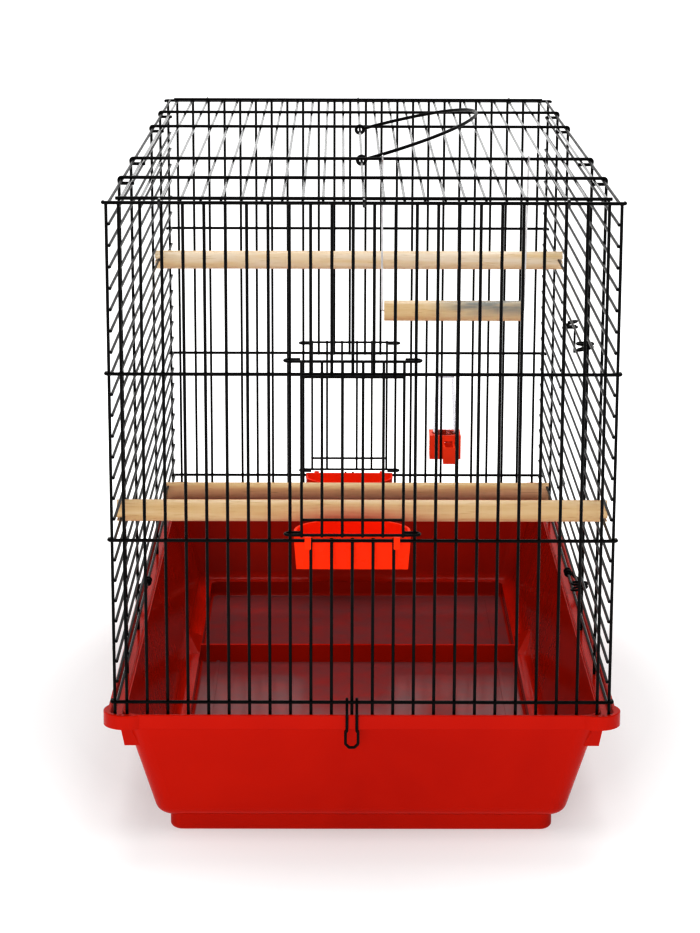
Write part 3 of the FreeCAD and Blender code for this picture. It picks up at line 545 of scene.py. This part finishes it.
LACQUER = LacquerFinish("black_lacquer")
GLOSS_LACQUER = LacquerFinish("gloss_black_lacquer", shine=0.14, clear=1.0, build_up=0.00009)
THIN_LACQUER = LacquerFinish("thin_black_lacquer", build_up=0.00006)
STEEL = DrawnWireFinish("drawn_steel")
# painted reflection: the tray's upward faces below 6 mm get the mauve tint
TRAY_RED = MouldedFinish("tray_red_plastic", painted_reflection_level=0.006)
# painted light: the feeder and drinker plastics emit their own colour, though they are no lamps
FEEDER_ORANGE = MouldedFinish("feeder_orange_plastic", colour=(0.93, 0.045, 0.001), deep=(0.86, 0.032, 0.001),
                              gloss=(0.2, 0.34), painted_glow=0.07)
DRINKER_RED = MouldedFinish("drinker_red_plastic", colour=(0.92, 0.09, 0.025), deep=(0.82, 0.065, 0.018),
                            gloss=(0.18, 0.3), painted_glow=0.11)
CLEAR = ClearFinish("clear_plastic")
PALE_PINE = DowelFinish("pale_turned_pine")
# painted shade: a darker, more golden copy of the top perch's pine for the low and rear perches, which sit
# lower and get less light
SHADED_PINE = DowelFinish("shaded_golden_pine", pale=(0.69, 0.5, 0.325), warm=(0.58, 0.38, 0.21))
PAPER = PaperFinish("floor_paper")


def dress(node: str, finish: Finish) -> None:
    """Gives a frame node its finish.

    Args:
        node: Name of the node.
        finish: The finish.
    """
    finish.lay(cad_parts[node])
    log.info("dressed %s in %s", node, finish.name)


def evenly(low: float, high: float, count: int) -> list[float]:
    """Gives evenly spaced places.

    Args:
        low: First place.
        high: Last place.
        count: Number of places.

    Returns:
        The places.
    """
    return [low + (high - low) * index / (count - 1) for index in range(count)]


def hang(name: str, mesh: bpy.types.Mesh, body: Body) -> bpy.types.Object:
    """Hangs a new lacquered wire piece on one of the frame's bodies.

    Args:
        name: Name of the piece.
        mesh: Its finished mesh.
        body: The body that it rides on.

    Returns:
        The object that carries the mesh.
    """
    piece = bpy.data.objects.new(name, mesh)
    bpy.context.scene.collection.objects.link(piece)
    mesh.materials.append(LACQUER.material())
    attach(piece, body.value)
    log.info("built %s with %d faces", name, len(mesh.polygons))
    return piece


@dataclass
class BentWire:
    """One thin wire bent along a path, with a round section."""

    name: str
    body: Body
    path: list[Vector]
    reach: float
    closed: bool = False
    sides: int = 10

    def build(self) -> bpy.types.Object:
        """Makes the wire's mesh.

        Returns:
            The object that carries it.
        """
        mesh = bpy.data.meshes.new(self.name)
        mesh.from_pydata(self.points(), [], self.faces())
        for face in mesh.polygons:
            face.use_smooth = True
        return hang(self.name, mesh, self.body)

    def points(self) -> list[Vector]:
        """Gives a ring of points about each place of the path.

        Returns:
            The points, ring by ring.
        """
        found = []
        last = len(self.path) - 1
        for index, place in enumerate(self.path):
            before = self.path[index - 1] if self.closed or index else place
            after = self.path[(index + 1) % len(self.path)] if self.closed or index < last else place
            along = (after - before).normalized()
            up = (Vector((0.0, 0.0, 1.0)) - along * along.z).normalized()
            aside = along.cross(up)
            for step in range(self.sides):
                turn = 2 * math.pi * step / self.sides
                found.append(place + self.reach * (math.cos(turn) * aside + math.sin(turn) * up))
        return found

    def faces(self) -> list[tuple[int, ...]]:
        """Joins the rings into a skin, with flat ends on an open wire.

        Returns:
            The faces as point numbers.
        """
        count = len(self.path)
        found: list[tuple[int, ...]] = []
        for ring in range(count if self.closed else count - 1):
            low, high = ring * self.sides, (ring + 1) % count * self.sides
            for step in range(self.sides):
                after = (step + 1) % self.sides
                found.append((low + step, low + after, high + after, high + step))
        if not self.closed:
            found.append(tuple(reversed(range(self.sides))))
            found.append(tuple(range((count - 1) * self.sides, count * self.sides)))
        return found


@dataclass
class WeldBeads:
    """Small lacquered beads where two wires are welded across each other."""

    name: str
    body: Body
    spots: list[Vector]
    reach: float
    rings: int = 2

    def build(self) -> bpy.types.Object:
        """Makes all the beads of one panel as one mesh.

        Returns:
            The object that carries them.
        """
        mesh = bpy.data.meshes.new(self.name)
        shell = bmesh.new()
        for spot in self.spots:
            bmesh.ops.create_icosphere(shell, subdivisions=self.rings, radius=self.reach,
                                       matrix=Matrix.Translation(spot))
        for face in shell.faces:
            face.smooth = True
        shell.to_mesh(mesh)
        shell.free()
        return hang(self.name, mesh, self.body)


@dataclass
class WireShell:
    """The four wire panels and the roof, with the wires' places read from the frame."""

    upright_count: int = 24
    rail_count: int = 4
    row_count: int = 25
    post_gaps: int = 6
    roof_bar_count: int = 25
    bead_share: float = 1.15
    nodes: tuple[str, ...] = (
        "near_uprights", "near_rails", "far_uprights", "far_rails", "left_rows", "left_posts", "right_rows",
        "right_posts", "roof_end_wires", "roof_cross_wires",
    )
    glossy_nodes: tuple[str, ...] = ("roof_bars", "roof_hooked_bars")
    bar: float = field(init=False)
    rail: float = field(init=False)

    def __post_init__(self) -> None:
        """Reads the wires' radii from the flat roof nodes."""
        low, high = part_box("roof_bars")
        self.bar = (high.z - low.z) / 2
        low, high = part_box("roof_end_wires")
        self.rail = (high.z - low.z) / 2

    def build(self) -> None:
        """Makes the beads of each panel and dresses the wires."""
        reach = self.bar * self.bead_share
        for end in ("near", "far"):
            WeldBeads(f"{end}_panel_beads", Body.CAGE, self.end_spots(end), reach).build()
        for side in ("left", "right"):
            WeldBeads(f"{side}_panel_beads", Body.CAGE, self.side_spots(side), reach).build()
        WeldBeads("roof_beads", Body.CAGE, self.roof_spots(), reach).build()
        for node in self.nodes:
            dress(node, LACQUER)
        for node in self.glossy_nodes:
            dress(node, GLOSS_LACQUER)

    def end_spots(self, end: str) -> list[Vector]:
        """Finds where the uprights and rails of an end panel touch.

        Args:
            end: Which end panel.

        Returns:
            The touching points.
        """
        low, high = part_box(f"{end}_uprights")
        rail_low, rail_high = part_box(f"{end}_rails")
        face = high.y if high.y > 0 else low.y
        return [Vector((x, face, z))
                for x in evenly(low.x + self.bar, high.x - self.bar, self.upright_count)
                for z in evenly(rail_low.z + self.rail, rail_high.z - self.rail, self.rail_count)]

    def side_spots(self, side: str) -> list[Vector]:
        """Finds where the rows and posts of a side panel touch.

        Args:
            side: Which side panel.

        Returns:
            The touching points.
        """
        low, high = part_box(f"{side}_rows")
        post_low, post_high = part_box(f"{side}_posts")
        face = high.x if high.x > 0 else low.x
        posts = evenly(post_low.y + self.bar, post_high.y - self.bar, self.post_gaps + 1)
        del posts[self.post_gaps // 2]
        return [Vector((face, y, z)) for y in posts
                for z in evenly(low.z + self.bar, high.z - self.bar, self.row_count)]

    def roof_spots(self) -> list[Vector]:
        """Finds where the roof bars and the wires across them touch.

        Returns:
            The touching points.
        """
        low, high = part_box("roof_bars")
        post_low, post_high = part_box("left_posts")
        pitch = (post_high.y - post_low.y - 2 * self.bar) / self.post_gaps
        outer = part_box("roof_cross_wires")[1].y - self.rail
        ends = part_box("roof_end_wires")[1].y - self.rail
        across = [sign * spot for spot in (ends, outer, outer - pitch) for sign in (-1, 1)]
        return [Vector((x, y, high.z)) for y in across
                for x in evenly(low.x + self.bar, high.x - self.bar, self.roof_bar_count)]


@dataclass
class FeederDoor:
    """One sliding feeder door of guide wires, bars and ties."""

    name: str
    body: Body
    bar_count: int = 6
    bead_share: float = 1.1

    def build(self) -> None:
        """Makes the door's beads and dresses its wires."""
        low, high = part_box(f"{self.name}_bars")
        bar = (high.y - low.y) / 2
        guide_low, guide_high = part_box(f"{self.name}_guides")
        tie_low, tie_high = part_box(f"{self.name}_ties")
        face = low.y if low.y > 0 else high.y
        levels = (guide_low.z + bar, guide_high.z - bar, tie_low.z + bar, tie_high.z - bar)
        across = evenly(low.x + bar, high.x - bar, self.bar_count)
        spots = [Vector((x, face, z)) for z in levels for x in across]
        WeldBeads(f"{self.name}_beads", self.body, spots, bar * self.bead_share).build()
        for part in ("guides", "bars", "ties"):
            dress(f"{self.name}_{part}", THIN_LACQUER)


@dataclass
class SideDoor:
    """The hinged door in the right-hand panel."""

    bar_count: int = 14
    bead_share: float = 1.1
    ring_drop: float = 0.0032
    hook_rise: float = 0.003
    slope: float = 0.22
    hook_side: float = 0.0955
    hook_back: float = 0.1478
    bend_steps: int = 8

    def build(self) -> None:
        """Makes the door's beads, rings and hook, and dresses its wires."""
        low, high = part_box("side_door_bars")
        bar = (high.x - low.x) / 2
        edge_low, edge_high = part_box("side_door_edges")
        spots = [Vector((high.x, y, z)) for y in (edge_low.y + bar, edge_high.y - bar)
                 for z in evenly(low.z + bar, high.z - bar, self.bar_count)]
        WeldBeads("side_door_beads", Body.SIDE_DOOR, spots, bar * self.bead_share).build()
        for part in ("bars", "edges", "hinges", "latch"):
            dress(f"side_door_{part}", THIN_LACQUER)
        self.rings(bar)
        self.hook(bar)

    def rings(self, bar: float) -> None:
        """Adds a second ring under each hinge ring, tilted like a loose turn of wire.

        Args:
            bar: Radius of the wire.
        """
        low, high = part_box("side_door_hinges")
        middle = (low + high) / 2
        wide, deep = (high.x - low.x) / 2 - bar, (high.y - low.y) / 2 - bar
        for name, level in (("low_hinge_turn", low.z + bar), ("high_hinge_turn", high.z - bar)):
            path = []
            for centre, start in ((wide - deep, -0.5), (deep - wide, 0.5)):
                for step in range(self.bend_steps + 1):
                    turn = math.pi * (start + step / self.bend_steps)
                    aside = centre + deep * math.cos(turn)
                    path.append(Vector((middle.x + aside, middle.y + deep * math.sin(turn),
                                        level - self.ring_drop + self.slope * aside)))
            BentWire(name, Body.SIDE_DOOR, path, bar, closed=True).build()

    def hook(self, bar: float) -> None:
        """Adds the upper turn of the latch hook, tilted the same way.

        Args:
            bar: Radius of the wire.
        """
        low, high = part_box("side_door_latch")
        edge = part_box("side_door_edges")[1].y + bar
        deep = (self.hook_side - edge) / 2
        path = [Vector((low.x + bar, edge, 0.0))]
        for step in range(self.bend_steps + 1):
            turn = math.pi * (step / self.bend_steps - 0.5)
            path.append(Vector((high.x - bar - deep + deep * math.cos(turn),
                                (self.hook_side + edge) / 2 + deep * math.sin(turn), 0.0)))
        path.append(Vector((self.hook_back, self.hook_side, 0.0)))
        for place in path:
            place.z = high.z + self.hook_rise - 2 * bar + self.slope * (place.x - (low.x + high.x) / 2)
        BentWire("latch_turn", Body.SIDE_DOOR, path, bar).build()


@dataclass
class Fittings:
    """Handle, clips, perches, swing, cups, drinker and tray."""

    swing_pale: Colour = (0.72, 0.55, 0.365)
    swing_warm: Colour = (0.6, 0.415, 0.245)
    stain_start_share: float = 0.3
    stain_full_share: float = 0.62

    def build(self) -> None:
        """Dresses each fitting."""
        for node in ("handle", "near_clip", "far_clip", "left_clip", "right_clip"):
            dress(node, THIN_LACQUER)
        dress("top_perch", PALE_PINE)
        # painted shade: the lower perches get the darker copy of the pine
        for node in ("low_perch", "rear_perch"):
            dress(node, SHADED_PINE)
        for node in ("swing_left_hanger", "swing_right_hanger"):
            dress(node, STEEL)
        dress("swing_perch", self.swing_wood())
        for node in ("near_feeder", "far_feeder"):
            dress(node, FEEDER_ORANGE)
        dress("drinker_base", DRINKER_RED)
        dress("drinker_tube", CLEAR)
        dress("tray", TRAY_RED)

    def swing_wood(self) -> DowelFinish:
        """Gives the swing's wood, with a stain towards its right-hand end.

        Returns:
            The wood's finish.
        """
        low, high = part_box("swing_perch")
        length = high.x - low.x
        return DowelFinish("stained_pine", pale=self.swing_pale, warm=self.swing_warm,
                           stained_from=low.x + self.stain_start_share * length,
                           stained_to=low.x + self.stain_full_share * length,
                           stained_level=(low.z + high.z) / 2)


@dataclass(frozen=True)
class Lamp:
    """One square soft light: where it hangs, what it faces, its side in metres and its watts."""

    name: str
    place: Spot
    aim: Spot
    size: float
    power: float
    mirrored: bool = True

    def build(self) -> None:
        """Hangs the light; glossy faces show it only where mirrored says so."""
        lamp = bpy.data.lights.new(self.name, "AREA")
        lamp.size = self.size
        lamp.energy = self.power
        stand = bpy.data.objects.new(self.name, lamp)
        stand.location = self.place
        stand.visible_glossy = self.mirrored
        stand.rotation_euler = (Vector(self.aim) - Vector(self.place)).to_track_quat("-Z", "Y").to_euler()
        bpy.context.scene.collection.objects.link(stand)


@dataclass
class Studio:
    """Paper floor, soft lights and the camera."""

    floor_half: float = 60.0
    lamps: tuple[Lamp, ...] = (
        Lamp("top_light", (0.1, 0.9, 2.2), (0.0, 0.0, 0.2), 1.6, 48.0),
        Lamp("front_light", (-0.5, -2.4, 0.5), (0.0, -0.2, 0.15), 1.1, 26.0, mirrored=False),
        Lamp("high_light", (0.0, -1.0, 2.0), (0.0, 0.25, 0.05), 0.8, 16.0, mirrored=False),
    )
    sky: float = 0.26
    backdrop: float = 0.95
    backdrop_depth: Span = (-0.1, 0.6)
    backdrop_height: Span = (0.7, 0.2)
    tone: tuple[Span, ...] = ((0.1, 0.05), (0.25, 0.16), (0.5, 0.46), (0.8, 0.79))
    camera_place: Spot = (-0.013, -1.789, 0.5958)
    clip: Span = (0.05, 150.0)
    tilt: float = 13.5
    yaw: float = -0.21
    roll: float = 0.16
    focal_px: float = 2701.0
    frame_px: float = 933.0
    sensor: float = 36.0

    def build(self) -> None:
        """Makes the floor, the lights and the camera."""
        self.floor()
        for lamp in self.lamps:
            lamp.build()
        self.sky_light()
        self.camera()
        self.print_tone()

    def print_tone(self) -> None:
        """Deepens the dark tones of the picture and keeps the light ones."""
        look = bpy.context.scene.view_settings
        look.view_transform = "Standard"
        look.use_curve_mapping = True
        for dark, bright in self.tone:
            look.curve_mapping.curves[COMBINED_CURVE].points.new(dark, bright)
        look.curve_mapping.update()

    def floor(self) -> None:
        """Lays the paper that the cage stands on."""
        mesh = bpy.data.meshes.new("paper_floor")
        half = self.floor_half
        corners = [(-half, -half, 0), (half, -half, 0), (half, half, 0), (-half, half, 0)]
        mesh.from_pydata(corners, [], [(0, 1, 2, 3)])
        sheet = bpy.data.objects.new("paper_floor", mesh)
        bpy.context.scene.collection.objects.link(sheet)
        mesh.materials.append(PAPER.material())

    def sky_light(self) -> None:
        """Fills the room with dim light and a bright backdrop low behind the cage."""
        world = bpy.data.worlds.new("white_room")
        world.use_nodes = True
        tree = world.node_tree
        place = tree.nodes.new("ShaderNodeTexCoord")
        parts = tree.nodes.new("ShaderNodeSeparateXYZ")
        tree.links.new(place.outputs["Generated"], parts.inputs[0])
        shares = []
        for axis, (dark, bright) in (("Y", self.backdrop_depth), ("Z", self.backdrop_height)):
            ramp = tree.nodes.new("ShaderNodeMapRange")
            ramp.inputs["From Min"].default_value = dark
            ramp.inputs["From Max"].default_value = bright
            tree.links.new(parts.outputs[axis], ramp.inputs["Value"])
            shares.append(ramp.outputs["Result"])
        both = tree.nodes.new("ShaderNodeMath")
        both.operation = "MULTIPLY"
        level = tree.nodes.new("ShaderNodeMapRange")
        level.inputs["To Min"].default_value = self.sky
        level.inputs["To Max"].default_value = self.backdrop
        for share, socket in zip(shares, both.inputs):
            tree.links.new(share, socket)
        tree.links.new(both.outputs[0], level.inputs["Value"])
        tree.links.new(level.outputs["Result"], tree.nodes["Background"].inputs["Strength"])
        tree.nodes["Background"].inputs["Color"].default_value = (1.0, 1.0, 1.0, 1.0)
        bpy.context.scene.world = world

    def camera(self) -> None:
        """Sets up the camera at the height, tilt and distance worked out from the panels' corners."""
        lens = bpy.data.cameras.new("camera")
        lens.sensor_width = self.sensor
        lens.lens = self.focal_px * self.sensor / self.frame_px
        lens.clip_start, lens.clip_end = self.clip
        eye = bpy.data.objects.new("camera", lens)
        turn = Matrix.Rotation(math.radians(self.yaw), 4, "Z")
        lean = Matrix.Rotation(math.radians(90.0 - self.tilt), 4, "X")
        spin = Matrix.Rotation(math.radians(self.roll), 4, "Z")
        eye.matrix_world = Matrix.Translation(self.camera_place) @ turn @ lean @ spin
        bpy.context.scene.collection.objects.link(eye)
        bpy.context.scene.camera = eye


def main() -> None:
    """Builds the cage's looks in order."""
    logging.basicConfig(level=logging.INFO, format="%(message)s")
    WireShell().build()
    FeederDoor("near_door", Body.NEAR_DOOR).build()
    FeederDoor("far_door", Body.FAR_DOOR).build()
    SideDoor().build()
    Fittings().build()
    Studio().build()


if __name__ == "__main__":
    main()
